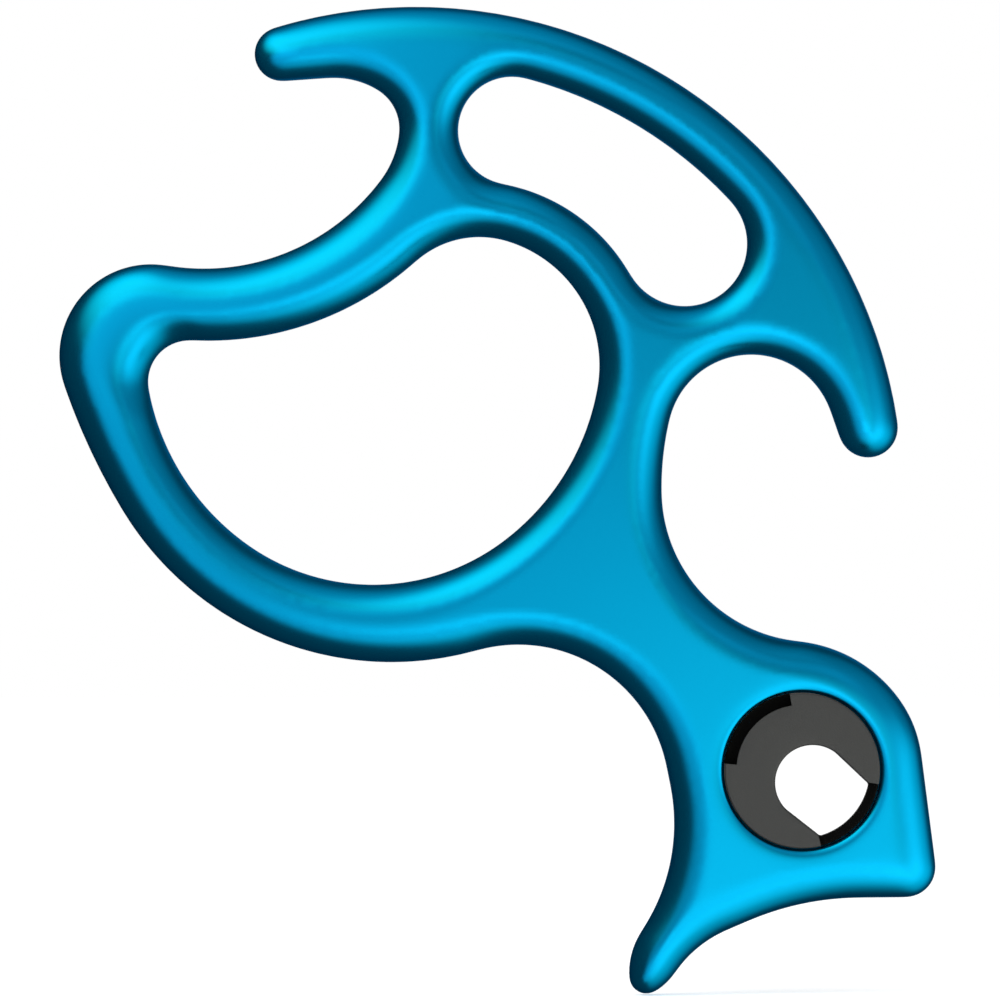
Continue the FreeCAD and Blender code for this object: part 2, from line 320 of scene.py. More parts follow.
@dataclass
class Sheet:
    """A flat mesh while it grows, in millimetres, with each point's share of the plate's thickness."""

    points: list[np.ndarray] = field(default_factory=list)
    keep: list[np.ndarray] = field(default_factory=list)
    faces: list[tuple[int, ...]] = field(default_factory=list)
    count: int = 0

    def add(self, points: np.ndarray, keep: float = 1.0) -> int:
        """Adds points with one share of the thickness.

        Args:
            points: The points.
            keep: Their share of the thickness.

        Returns:
            The number of the first of them.
        """
        start = self.count
        self.points.append(points)
        self.keep.append(np.full(len(points), keep))
        self.count += len(points)
        return start

    def join(self, low: int, high: int, size: int, turned: bool = False) -> None:
        """Joins two closed rows of points with four-sided faces.

        Args:
            low: The number of one row's first point.
            high: The number of the other row's first point.
            size: How many points a row has.
            turned: Whether the faces run the other way round.
        """
        for i in range(size):
            j = (i + 1) % size
            corners = (low + i, low + j, high + j, high + i)
            self.faces.append((corners[0], *corners[:0:-1]) if turned else corners)

    def flat(self) -> np.ndarray:
        """All points so far."""
        return np.vstack(self.points)


@dataclass
class ForgedPlate:
    """The one-piece forging, with bars rolled over towards the middle plane as the dies leave them.

    Sizes are in millimetres.
    """

    node: str = "descender_body"
    half_thickness: float = 6.0
    # The section: how far in from the outline the roll-over runs, and how full it is
    ring_roll: float = 5.38
    horn_roll: float = 5.28
    ring_crown_power: float = 2.05
    ring_edge_power: float = 0.714
    crown_power: float = 2.23
    edge_power: float = 0.529
    tab: Zone = Zone((0.0, 0.0), 6.02, 22.0, 40.0)
    neck: Zone = Zone((-30.0, 26.0), 5.3, 14.0, 30.0)
    lobe_corner: Zone = Zone((-101.5, 63.9), 7.8, 3.5, 10.0)
    # The horns: beyond the first distance from the ring's centre and above the first height
    ring_centre: tuple[float, float] = (-59.6, 43.2)
    horn_distance: tuple[float, float] = (42.0, 56.0)
    horn_height: tuple[float, float] = (60.0, 84.0)
    right_horn_across: tuple[float, float] = (-38.0, -16.0)
    right_horn_height: tuple[float, float] = (44.0, 66.0)
    # The eye: its bore, the soft hollow round it, and the rib for the keeper
    bore_radius: float = 12.35
    bore_lip: float = 2.6
    bore_dip: float = 0.32
    dip_fade: float = 0.55
    bore_corner: float = 0.35
    rib_radius: float = 11.45
    rib_half_width: float = 1.5
    rib_round: float = 0.15
    corner_degrees: tuple[float, ...] = (42, 54, 66, 78, 90)
    eye_points: int = 160
    lip_rows: int = 14
    lip_crowding: float = 1.6
    lip_margin: float = 0.4
    # The mesh: strips along the outlines and a triangular grid between them
    cut_height: float = 0.4
    spacing: float = 0.55
    fine_spacing: float = 0.3
    rim_depth: float = 3.6
    rim_share: float = 0.8
    rim_degrees: tuple[float, ...] = (0, 7, 14, 22, 31, 41, 52, 64, 77, 90)
    evening_rounds: int = 30
    evening_slack: float = 0.002
    eye_gap: float = 1.5
    pitch: float = 0.95
    closest: float = 1e-6
    measured_from: float = 1.3
    sharp_degrees: float = 50.0
    fields: tuple[str, ...] = ("depth", "roll", "ring", "keep")
    finish: AnodisedAluminium = field(default_factory=AnodisedAluminium)

    def outlines(self) -> list[np.ndarray]:
        """Reads the outlines of the CAD plate just off its middle plane, where no corner lies.

        Returns:
            Closed outlines in millimetres, the outer one first, without the eye's bore.
        """
        source = bmesh.new()
        source.from_mesh(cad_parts[self.node].data)
        bmesh.ops.remove_doubles(source, verts=source.verts, dist=WELD)
        everything = source.verts[:] + source.edges[:] + source.faces[:]
        level = (0, self.cut_height * MM, 0)
        cut = bmesh.ops.bisect_plane(source, geom=everything, plane_co=level, plane_no=(0, 1, 0))
        beside: dict[Any, list[Any]] = {}
        for edge in cut["geom_cut"]:
            if isinstance(edge, bmesh.types.BMEdge):
                one, other = edge.verts
                beside.setdefault(one, []).append(other)
                beside.setdefault(other, []).append(one)
        loops = []
        left = dict.fromkeys(beside)
        while left:
            onward = [next(iter(left))]
            walk = []
            while onward:
                walk.append(onward[0])
                del left[onward[0]]
                onward = [v for v in beside[walk[-1]] if v in left]
            loops.append(np.array([(v.co.x, v.co.z) for v in walk]) / MM)
        source.free()
        # The bore is the one outline that keeps its distance from the eye's axis, to a millimetre
        loops = [loop for loop in loops if np.ptp(np.hypot(*loop.T)) > 1]
        loops.sort(key=lambda loop: -np.ptp(loop[:, 0]))
        return loops

    @staticmethod
    def spread(loop: np.ndarray, places: np.ndarray, run: np.ndarray) -> np.ndarray:
        """The points of a closed outline at given distances along it."""
        closed = np.vstack([loop, loop[:1]])
        return np.stack([np.interp(places, run, closed[:, i]) for i in (0, 1)], axis=1)

    @staticmethod
    def run(loop: np.ndarray) -> np.ndarray:
        """The distance along a closed outline at each of its points, and its length at the end."""
        closed = np.vstack([loop, loop[:1]])
        return np.concatenate([[0], np.cumsum(np.hypot(*np.diff(closed, axis=0).T))])

    def evened(self, loop: np.ndarray, spacing: float, turn: int) -> np.ndarray:
        """Spreads points evenly along an outline and takes out the corners of its facets.

        Args:
            loop: The outline's corners.
            spacing: The distance between the new points.
            turn: 1 for anticlockwise, -1 for clockwise.

        Returns:
            The new points.
        """
        area = np.sum(loop[:, 0] * np.roll(loop[:, 1], -1) - np.roll(loop[:, 0], -1) * loop[:, 1])
        if np.sign(area) != turn:
            loop = loop[::-1]
        # Points every 0.1 mm, smoothed over some six of them, and over twenty each way at most
        smallest, softness, widest = 0.1, 6.0, 20
        run = self.run(loop)
        points = self.spread(loop, np.arange(0, run[-1], run[-1] / round(run[-1] / smallest)), run)
        shifts = np.arange(-widest, widest + 1)
        weight = np.exp(-0.5 * (shifts / softness) ** 2)
        weight /= weight.sum()
        points = sum(w * np.roll(points, s, axis=0) for s, w in zip(shifts, weight))
        run = self.run(points)
        count = round(run[-1] / spacing)
        return self.spread(points, np.arange(count) * run[-1] / count, run)

    @staticmethod
    def inward(points: np.ndarray) -> np.ndarray:
        """Finds the unit normals that point into the metal, on an outline's left.

        Args:
            points: The outline's points.

        Returns:
            The normal at each of them.
        """
        along = np.roll(points, -1, axis=0) - np.roll(points, 1, axis=0)
        along /= np.hypot(*along.T)[:, None]
        return np.stack([-along[:, 1], along[:, 0]], axis=1)

    @staticmethod
    def soft_depth(places: np.ndarray, edge: np.ndarray, normal: np.ndarray, step: float) -> np.ndarray:
        """A depth below the outlines that is smooth across the middle of each bar.

        Near an outline it equals the distance to it. It is a cubic mean over all of the outline.

        Args:
            places: Points in the metal.
            edge: Points along the outlines.
            normal: The outlines' inward normals there.
            step: The distance between the outlines' points.

        Returns:
            The depth at each place, in millimetres.
        """
        power, batch = 3, 1500
        full = math.sqrt(math.pi) * math.gamma((1 + power) / 2) / math.gamma((2 + power) / 2)
        # These keep the sum and its root in bounds on the outline itself
        least_far, least_total = 1e-6, 1e-9
        depth = np.empty(len(places))
        for start in range(0, len(places), batch):
            gap = places[start : start + batch, None, :] - edge[None, :, :]
            far = np.maximum((gap**2).sum(2), least_far)
            facing = (gap * normal[None, :, :]).sum(2)
            total = (facing / far ** ((2 + power) / 2)).sum(1) * step
            depth[start : start + batch] = (np.maximum(total, least_total) / full) ** (-1 / power)
        return depth

    @staticmethod
    def room(points: np.ndarray, normal: np.ndarray, others: np.ndarray) -> np.ndarray:
        """How far in from each outline point the metal's middle line lies.

        Args:
            points: Outline points.
            normal: Their inward normals.
            others: The points of all outlines.

        Returns:
            The radius of the largest circle within the metal that touches each point.
        """
        found = np.empty(len(points))
        batch, nearest, widest, least = 500, 1.0, 50.0, 1e-3
        for start in range(0, len(points), batch):
            gap = others[None, :, :] - points[start : start + batch, None, :]
            ahead = (gap * normal[start : start + batch, None, :]).sum(2)
            far = (gap**2).sum(2)
            radius = np.where((ahead > least) & (far > nearest), far / (2 * np.maximum(ahead, least)), widest)
            found[start : start + batch] = radius.min(1)
        return found

    def zones(self, places: np.ndarray) -> tuple[np.ndarray, np.ndarray]:
        """How far in from the outline the roll-over runs, and where the ring's fuller section holds.

        Args:
            places: Points in the metal.

        Returns:
            The width of the roll-over in millimetres, and the ring's share from 0 to 1.
        """
        across, height = places.T
        from_ring = np.hypot(*(places - np.array(self.ring_centre)).T)
        horn = smooth_step(from_ring, *self.horn_distance) * smooth_step(height, *self.horn_height)
        right = smooth_step(across, *self.right_horn_across) * smooth_step(height, *self.right_horn_height)
        horn = np.maximum(horn, right)
        tab = self.tab.share(places)
        width = self.ring_roll + (self.horn_roll - self.ring_roll) * horn
        width = width + (self.neck.roll - width) * (self.neck.share(places) * (1 - tab))
        width = width + (self.lobe_corner.roll - width) * self.lobe_corner.share(places)
        return width + (self.tab.roll - width) * tab, (1 - horn) * (1 - tab)

    def rims(self, sheet: Sheet, loops: list[np.ndarray], edge: np.ndarray) -> tuple[list[Any], list[Any]]:
        """Lays strips along the outlines, close together where the section is steep.

        Args:
            sheet: The mesh to add them to.
            loops: The outlines.
            edge: The fine points of all outlines.

        Returns:
            The points' distances from their outline, row by row, and the numbers of the innermost rows.
        """
        shares = 1 - np.cos(np.radians(self.rim_degrees))
        blocks, inner = [], []
        for loop in loops:
            into = self.inward(loop)
            reach = np.minimum(self.rim_depth, self.rim_share * self.room(loop, into, edge))
            reach = np.minimum(reach, np.hypot(*loop.T) - self.bore_radius - self.bore_lip - self.eye_gap)
            # The strips' width changes slowly along the outline
            for _ in range(self.evening_rounds):
                mean = (np.roll(reach, 1) + reach + np.roll(reach, -1)) / 3
                reach = np.minimum(reach, mean + self.evening_slack)
            rows = [sheet.add(loop + into * (reach * share)[:, None]) for share in shares]
            for low, high in zip(rows, rows[1:]):
                sheet.join(low, high, len(loop))
            blocks.append(np.outer(shares, reach))
            inner.append(np.arange(rows[-1], sheet.count))
        return blocks, inner

    def eye(self, sheet: Sheet) -> np.ndarray:
        """Adds the eye: its hollow lip, soft corner, bore and rib.

        Args:
            sheet: The mesh to add it to.

        Returns:
            The numbers of the outermost row.
        """
        high = self.half_thickness
        brink = self.bore_radius + self.bore_corner
        profile = [(brink + self.bore_lip + self.lip_margin, high)]
        # Rows draw together towards the brink
        for share in np.linspace(1, 0, self.lip_rows) ** self.lip_crowding:
            out = self.bore_lip * share
            profile.append((brink + out, high - self.bore_dip * math.exp(-out / self.dip_fade)))
        # The corner is an arc that starts at 30 degrees, whose cosine this is
        start_cosine = 0.866
        for turn in np.radians(self.corner_degrees):
            into = self.bore_corner * (2 * math.sin(turn) - 1)
            drop = 2 * self.bore_corner * (start_cosine - math.cos(turn))
            profile.append((brink - into, high - self.bore_dip - drop))
        rib, soft = self.rib_half_width, self.rib_round
        profile += [(self.bore_radius, rib + soft), (self.bore_radius - soft, rib)]
        profile += [(self.rib_radius + soft, rib), (self.rib_radius, rib - soft), (self.rib_radius, 0.0)]
        turns = np.arange(self.eye_points) * 2 * math.pi / self.eye_points
        circle = np.stack([np.cos(turns), np.sin(turns)], axis=1)
        rows = [sheet.add(circle * radius, height / high) for radius, height in profile]
        for low, top in zip(rows, rows[1:]):
            sheet.join(low, top, self.eye_points, turned=True)
        return np.arange(rows[0], rows[1])

    def fill(self, sheet: Sheet, inner: list[np.ndarray]) -> None:
        """Fills the metal between the innermost rows with triangles.

        Args:
            sheet: The mesh to fill.
            inner: The numbers of each innermost row.
        """
        flat = sheet.flat()
        rows = [flat[ids] for ids in inner]
        rim = np.vstack(rows)
        low, high = flat.min(0), flat.max(0)
        across = np.arange(low[0], high[0], self.pitch)
        grid = np.vstack(
            [
                np.stack([across + n % 2 * self.pitch / 2, np.full(len(across), height)], 1)
                for n, height in enumerate(np.arange(low[1], high[1], self.pitch * math.sqrt(3) / 2))
            ]
        )
        grid = grid[self.within(grid, rows)]
        nearest = np.array([np.sqrt(((rim - point) ** 2).sum(1).min()) for point in grid])
        grid = grid[nearest > 0.5 * self.pitch]
        edges = []
        start = 0
        for row in rows:
            edges += [(start + i, start + (i + 1) % len(row)) for i in range(len(row))]
            start += len(row)
        corners = [Vector(corner) for corner in np.vstack([rim, grid])]
        found, _, triangles, origins, *_ = delaunay_2d_cdt(corners, edges, [], 0, self.closest)
        middle = np.array([np.mean([found[i] for i in triangle], axis=0) for triangle in triangles])
        first = sheet.add(grid)
        numbers = [*np.concatenate(inner), *range(first, sheet.count)]
        known = [int(numbers[given[0]]) for given in origins]
        for triangle, good in zip(triangles, self.within(middle, rows)):
            if good:
                sheet.faces.append(tuple(known[i] for i in triangle))

    def depths(self, flat: np.ndarray, blocks: list[np.ndarray], fine: list[np.ndarray]) -> np.ndarray:
        """Finds the depth of each point: soft in the metal, and led to zero at the outline along each rim.

        Args:
            flat: The points, those of the rims first.
            blocks: The rims' distances from their outlines, row by row.
            fine: The fine points of each outline.

        Returns:
            The depths in millimetres.
        """
        normal = np.vstack([self.inward(loop) for loop in fine])
        depth = self.soft_depth(flat, np.vstack(fine), normal, self.fine_spacing)
        start = 0
        for exact in blocks:
            measured = depth[start : start + exact.size].reshape(exact.shape)
            for given, line in zip(exact.T, measured.T):
                beyond = np.flatnonzero(given >= self.measured_from)
                first = beyond[0] if len(beyond) else len(given) - 1
                ratio = line[first] / given[first]
                share = given[:first] / given[first]
                line[:first] = given[:first] * (1 + (ratio - 1) * share)
            start += exact.size
        return depth

    def flat_mesh(self) -> bpy.types.Mesh:
        """Builds one half of the plate flat in the middle plane, with its depths as attributes.

        Returns:
            The mesh, with the attributes depth and roll in metres, ring as a share, and keep as a share
            of the thickness.
        """
        turned = [(loop, -1 if i else 1) for i, loop in enumerate(self.outlines())]
        loops = [self.evened(loop, self.spacing, turn) for loop, turn in turned]
        fine = [self.evened(loop, self.fine_spacing, turn) for loop, turn in turned]
        sheet = Sheet()
        blocks, inner = self.rims(sheet, loops, np.vstack(fine))
        self.fill(sheet, [*inner, self.eye(sheet)])
        flat = sheet.flat()
        mesh = bpy.data.meshes.new("plate_half")
        mesh.from_pydata([(x * MM, 0.0, z * MM) for x, z in flat], [], sheet.faces)
        width, ring = self.zones(flat)
        values = (self.depths(flat, blocks, fine) * MM, width * MM, ring, np.concatenate(sheet.keep))
        for name, value in zip(self.fields, values):
            attribute = mesh.attributes.new(name, "FLOAT", "POINT")
            attribute.data.foreach_set("value", np.asarray(value, dtype=np.float32))
        return mesh

    @staticmethod
    def within(points: np.ndarray, loops: Sequence[np.ndarray]) -> np.ndarray:
        """Tells which points lie inside a region bounded by closed outlines.

        Args:
            points: The points to test.
            loops: The outlines, holes among them.

        Returns:
            True for each point that lies inside.
        """
        inside = np.zeros(len(points), dtype=bool)
        for loop in loops:
            for (x0, z0), (x1, z1) in zip(loop, np.roll(loop, -1, axis=0)):
                if z0 != z1:
                    crosses = (points[:, 1] >= min(z0, z1)) & (points[:, 1] < max(z0, z1))
                    at = x0 + (points[:, 1] - z0) * (x1 - x0) / (z1 - z0)
                    inside ^= crosses & (points[:, 0] < at)
        return inside

    def swelling_tree(self) -> Tree:
        """Makes the node tree that swells the flat half to its rolled section and adds its mirror image.

        Returns:
            The geometry node tree. Its inputs are Half Thickness, Crown Power and Edge Power for the
            section, the same two with Ring before them for the ring's own, and Finish.
        """
        tree = bpy.data.node_groups.new("rolled_plate", "GeometryNodeTree")
        face = tree.interface
        face.new_socket("Geometry", in_out="INPUT", socket_type="NodeSocketGeometry")
        for name in ("Half Thickness", "Crown Power", "Edge Power", "Ring Crown Power", "Ring Edge Power"):
            face.new_socket(name, in_out="INPUT", socket_type="NodeSocketFloat")
        face.new_socket("Finish", in_out="INPUT", socket_type="NodeSocketMaterial")
        face.new_socket("Geometry", in_out="OUTPUT", socket_type="NodeSocketGeometry")
        given = add_node(tree, "NodeGroupInput").outputs
        read = {
            name: add_node(tree, "GeometryNodeInputNamedAttribute", {"Name": name}).outputs["Attribute"]
            for name in self.fields
        }
        # The ring has powers of its own, and its share leads over to them
        powers = {}
        for name in ("Crown Power", "Edge Power"):
            ends = {0: given["Ring " + name], 1: given[name]}
            change = add_node(tree, "ShaderNodeMath", ends, operation="SUBTRACT").outputs[0]
            terms = {0: change, 1: read["ring"], 2: given[name]}
            powers[name] = add_node(tree, "ShaderNodeMath", terms, operation="MULTIPLY_ADD").outputs[0]
        # From the depth to the offset, where None stands for the result so far
        steps = (
            ("DIVIDE", None, read["roll"]),
            ("SUBTRACT", 1.0, None),
            ("POWER", None, powers["Crown Power"]),
            ("SUBTRACT", 1.0, None),
            ("POWER", None, powers["Edge Power"]),
            ("MULTIPLY", None, read["keep"]),
            ("MULTIPLY", None, given["Half Thickness"]),
            ("MULTIPLY", None, -1.0),
        )
        result = read["depth"]
        for kind, *terms in steps:
            links = {i: result if term is None else term for i, term in enumerate(terms)}
            step = add_node(tree, "ShaderNodeMath", links, operation=kind, use_clamp=kind == "DIVIDE")
            result = step.outputs[0]
        offset = add_node(tree, "ShaderNodeCombineXYZ", {"Y": result}).outputs[0]
        moved = {"Geometry": given["Geometry"], "Offset": offset}
        front = add_node(tree, "GeometryNodeSetPosition", moved).outputs[0]
        back = add_node(tree, "GeometryNodeTransform", {0: front, "Scale": (1.0, -1.0, 1.0)}).outputs[0]
        turned = add_node(tree, "GeometryNodeFlipFaces", {0: back}).outputs[0]
        both = add_node(tree, "GeometryNodeJoinGeometry", {0: front})
        tree.links.new(turned, both.inputs[0])
        finishing = (
            ("GeometryNodeMergeByDistance", {"Distance": 2 * WELD}),
            ("GeometryNodeSetShadeSmooth", {}),
            ("GeometryNodeRealizeInstances", {}),
            ("GeometryNodeSetMaterial", {"Material": given["Finish"]}),
        )
        plate = both.outputs[0]
        for kind, values in finishing:
            plate = add_node(tree, kind, {0: plate, **values}).outputs[0]
        add_node(tree, "NodeGroupOutput", {0: plate})
        return tree

    def build(self) -> bpy.types.Object:
        """Makes the plate, dresses it and lets it stand for its CAD node.

        Returns:
            The finished object.
        """
        obj = mesh_object("forged_plate", self.flat_mesh())
        modifier = obj.modifiers.new("rolled", "NODES")
        modifier.node_group = self.swelling_tree()
        settings = {
            "Half Thickness": self.half_thickness * MM,
            "Crown Power": self.crown_power,
            "Edge Power": self.edge_power,
            "Ring Crown Power": self.ring_crown_power,
            "Ring Edge Power": self.ring_edge_power,
            "Finish": self.finish.material(),
        }
        for item in modifier.node_group.interface.items_tree:
            if item.in_out == "INPUT" and item.name in settings:
                modifier[item.identifier] = settings[item.name]
        graph = bpy.context.evaluated_depsgraph_get()
        mesh = bpy.data.meshes.new_from_object(obj.evaluated_get(graph))
        obj.modifiers.clear()
        obj.data = mesh
        mesh.name = "forged_plate"
        face_outwards(mesh)
        for name in self.fields:
            mesh.attributes.remove(mesh.attributes[name])
        mesh.set_sharp_from_angle(angle=math.radians(self.sharp_degrees))
        # The rims show the studio and not the bars across the openings
        obj.visible_glossy = False
        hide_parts(self.node)
        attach(obj, "root")
        return obj


@dataclass
class Keeper:
    """The moulded keeper in the eye: two flanges on a waist that sits over the eye's rib.

    It is one closed skin of radial sections, in millimetres, with the eye's axis at its centre.
    """

    node: str = "karabiner_insert"
    half_depth: float = 5.5
    radius: float = 12.0
    waist_radius: float = 11.35
    groove_half_width: float = 1.6
    rim_round: float = 0.3
    axis_angle: float = -43.0
    far_offset: float = 2.45
    far_side: float = -0.25
    far_radius: float = 5.8
    closing_radius: float = 10.6
    cusp_radius: float = 0.55
    cusp_angle: float = 29.6
    hole_round: float = 0.45
    recess_radius: float = 10.2
    recess_floor: float = 2.0
    recess_round: float = 0.12
    groove_round: float = 0.05
    pocket_half_angle: float = 37.8
    band_half_angle: float = 33.0
    # The mesh: the sections' directions in degrees, and the points along each of them
    arc_points: int = 60
    section_step: float = 1.25
    cusp_spread: float = 5.0
    close_step: float = 0.25
    wall_step: float = 0.03
    least_step: float = 0.04
    hole_degrees: tuple[float, ...] = (0, 15, 32, 50, 70, 90)
    step_degrees: tuple[float, ...] = (30, 60, 90)
    rim_degrees: tuple[float, ...] = (25, 50, 75, 90)
    face_shares: tuple[float, ...] = (0.34, 0.67, 1.0)
    flange_shares: tuple[float, ...] = (0.1, 0.4, 0.7, 1.0)
    rim_share: float = 0.6
    hair: float = 0.02
    sharp_degrees: float = 35.0
    face_finish: MouldedElastomer = field(default_factory=MouldedElastomer)
    # The recesses' near-black material, painted shade
    painted_shade_finish: PaintedShadeElastomer = field(default_factory=PaintedShadeElastomer)

    def hole_radii(self, angles: np.ndarray) -> np.ndarray:
        """Finds how far the karabiner opening reaches in each direction from the eye's axis.

        Args:
            angles: Directions in degrees, from the opening's own axis.

        Returns:
            The reach in each direction.
        """
        cusp_reach = self.closing_radius - self.cusp_radius
        tip = math.radians(self.cusp_angle)
        cusp = np.array([cusp_reach * math.cos(tip), cusp_reach * math.sin(tip)])
        # The far arc runs a little past the axis, so that both halves reach it
        last = math.pi + 0.2

        def arc(centre: np.ndarray, radius: float, start: float, end: float) -> np.ndarray:
            """Points along an arc."""
            turn = np.linspace(start, end, self.arc_points)
            return centre + radius * np.stack([np.cos(turn), np.sin(turn)], axis=1)

        reaches = np.empty(len(angles))
        for side in (-1, 1):
            far = np.array([self.far_offset, side * self.far_side])
            between = cusp - far
            lean = math.acos((self.far_radius - self.cusp_radius) / math.hypot(*between))
            touch = math.atan2(between[1], between[0]) + lean
            tangent = np.array([math.cos(touch), math.sin(touch)])
            ends = cusp + self.cusp_radius * tangent, far + self.far_radius * tangent
            half = np.vstack(
                [
                    arc(np.zeros(2), self.closing_radius, 0.0, tip),
                    arc(cusp, self.cusp_radius, tip, touch),
                    np.linspace(*ends, self.arc_points),
                    arc(far, self.far_radius, touch, last),
                ]
            )
            turn = np.degrees(np.unwrap(np.arctan2(half[:, 1], half[:, 0])))
            order = np.argsort(turn)
            here = angles * side >= 0
            reaches[here] = np.interp(np.abs(angles[here]), turn[order], np.hypot(*half.T)[order])
        return reaches

    def directions(self) -> np.ndarray:
        """Spaces the sections, close together at the cusps and at each step's wall.

        Returns:
            Their directions in degrees from the opening's axis, in rising order.
        """
        steps = [np.arange(-180, 180, self.section_step)]
        about_cusp = np.arange(-self.cusp_spread, self.cusp_spread + self.least_step, self.close_step)
        beside_wall = np.array([-self.close_step, -self.wall_step, self.wall_step, self.close_step])
        for sign in (-1, 1):
            steps.append(sign * self.cusp_angle + about_cusp)
            for place in (sign * self.band_half_angle, 180 - sign * self.pocket_half_angle):
                steps.append((place + 180) % 360 - 180 + beside_wall)
        every = np.unique(np.round(np.concatenate(steps), 3))
        return every[np.concatenate([[True], np.diff(every) > self.least_step])]

    def section(self, reach: float, inner: float, outer: float) -> list[tuple[float, float]]:
        """Draws the upper half of one radial section, from the hole's wall out to the waist.

        Args:
            reach: The radius of the hole's wall.
            inner: The height of the face inside the recess's radius.
            outer: The height outside it.

        Returns:
            Radius and height of each corner.
        """

        def rounded(radius: float, height: float, size: float, degrees: Sequence[float]) -> list[Any]:
            """A rounded corner, from the face over to the wall."""
            turns = np.radians(degrees)
            return [(radius - size * (1 - math.sin(t)), height - size * (1 - math.cos(t))) for t in turns]

        turns = np.radians(self.hole_degrees)
        soft = self.hole_round if inner > self.recess_floor else self.recess_round
        line = [(reach, 0.0)]
        line += [(reach + soft * (1 - math.cos(t)), inner - soft * (1 - math.sin(t))) for t in turns]
        start = reach + soft
        wall = max(self.recess_radius, start + self.hair)
        small = min(self.recess_round, (wall - start) / 2)
        line += [(start + (wall - small - start) * share, inner) for share in self.face_shares]
        if inner > outer:
            line += [*rounded(wall, inner, small, self.step_degrees), (wall, outer + self.hair)]
        else:
            # As many points as a step has, because all sections are joined point to point
            line += [(wall + self.hair * n, inner) for n in range(1, len(self.step_degrees) + 2)]
        edge = min(self.rim_round, (outer - self.groove_half_width) * self.rim_share)
        first = line[-1][0]
        line += [(first + (self.radius - edge - first) * share, outer) for share in self.flange_shares]
        line += rounded(self.radius, outer, edge, self.rim_degrees)
        groove, small, waist = self.groove_half_width, self.groove_round, self.waist_radius
        line += [(self.radius, groove + small), (self.radius - small, groove)]
        line += [(waist + small, groove), (waist, groove - small), (waist, 0.0)]
        return line

    def build(self) -> bpy.types.Object:
        """Makes the keeper, dresses it and lets it stand for its CAD node.

        Returns:
            The finished object.
        """
        turns = self.directions()
        reaches = self.hole_radii(turns)
        in_band = np.abs(turns) < self.band_half_angle
        in_pocket = 180 - np.abs(turns) < self.pocket_half_angle
        points: list[tuple[float, float, float]] = []
        low: list[bool] = []
        per = 0
        for turn, reach, band, pocket in zip(turns, reaches, in_band, in_pocket):
            inner = self.recess_floor if band else self.half_depth
            outer = self.recess_floor if band or pocket else self.half_depth
            half = self.section(reach, inner, outer)
            loop = half + [(r, -h) for r, h in half[-2:0:-1]]
            per = len(loop)
            angle = math.radians(turn + self.axis_angle)
            points += [(r * math.cos(angle) * MM, -h * MM, r * math.sin(angle) * MM) for r, h in loop]
            # Beyond the recess's wall, apart from the middle of the waist: these points take the painted
            # shade
            low += [(band or pocket) and r > self.recess_radius - self.hair / 2 and h != 0 for r, h in loop]
        count = len(turns)
        faces = []
        for i in range(count):
            this, following = i * per, (i + 1) % count * per
            for k in range(per):
                beside = (k + 1) % per
                faces.append((this + k, following + k, following + beside, this + beside))
        mesh = bpy.data.meshes.new("keeper")
        mesh.from_pydata(points, [], faces)
        face_outwards(mesh)
        # Faces with two marked points get the second material, near-black painted shade
        for polygon, corners in zip(mesh.polygons, faces):
            polygon.material_index = int(sum(low[c] for c in corners) >= 2)
            polygon.use_smooth = True
        mesh.set_sharp_from_angle(angle=math.radians(self.sharp_degrees))
        obj = mesh_object("moulded_keeper", mesh)
        mesh.materials.append(self.face_finish.material())
        mesh.materials.append(self.painted_shade_finish.material())
        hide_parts(self.node)
        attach(obj, "root")
        return obj


# The studio


class Side(Enum):
    """Which side of the plate a panel stands on, before it or behind it."""

    FRONT = -1.0
    REAR = 1.0


@dataclass(frozen=True)
class Panel:
    """A feathered light panel, seen in reflections only.

    It faces the object's middle from a distance in metres. Its place is given by the angle round the
    camera's axis and the tilt from that axis, both in degrees. Its sizes are half sizes in metres.
    Its share of blue is less than 1 for a warm lamp.
    """

    name: str
    angle: float
    tilt: float
    half_width: float
    half_height: float
    radiance: float
    distance: float
    side: Side = Side.FRONT
    blue: float = 1.0


@dataclass(frozen=True)
class Lamp:
    """A soft square lamp that lights the object and isn't seen in it, in metres and watts.

    Its place is measured from the object's middle.
    """

    name: str
    place: tuple[float, float, float]
    power: float
    size: float = 0.8


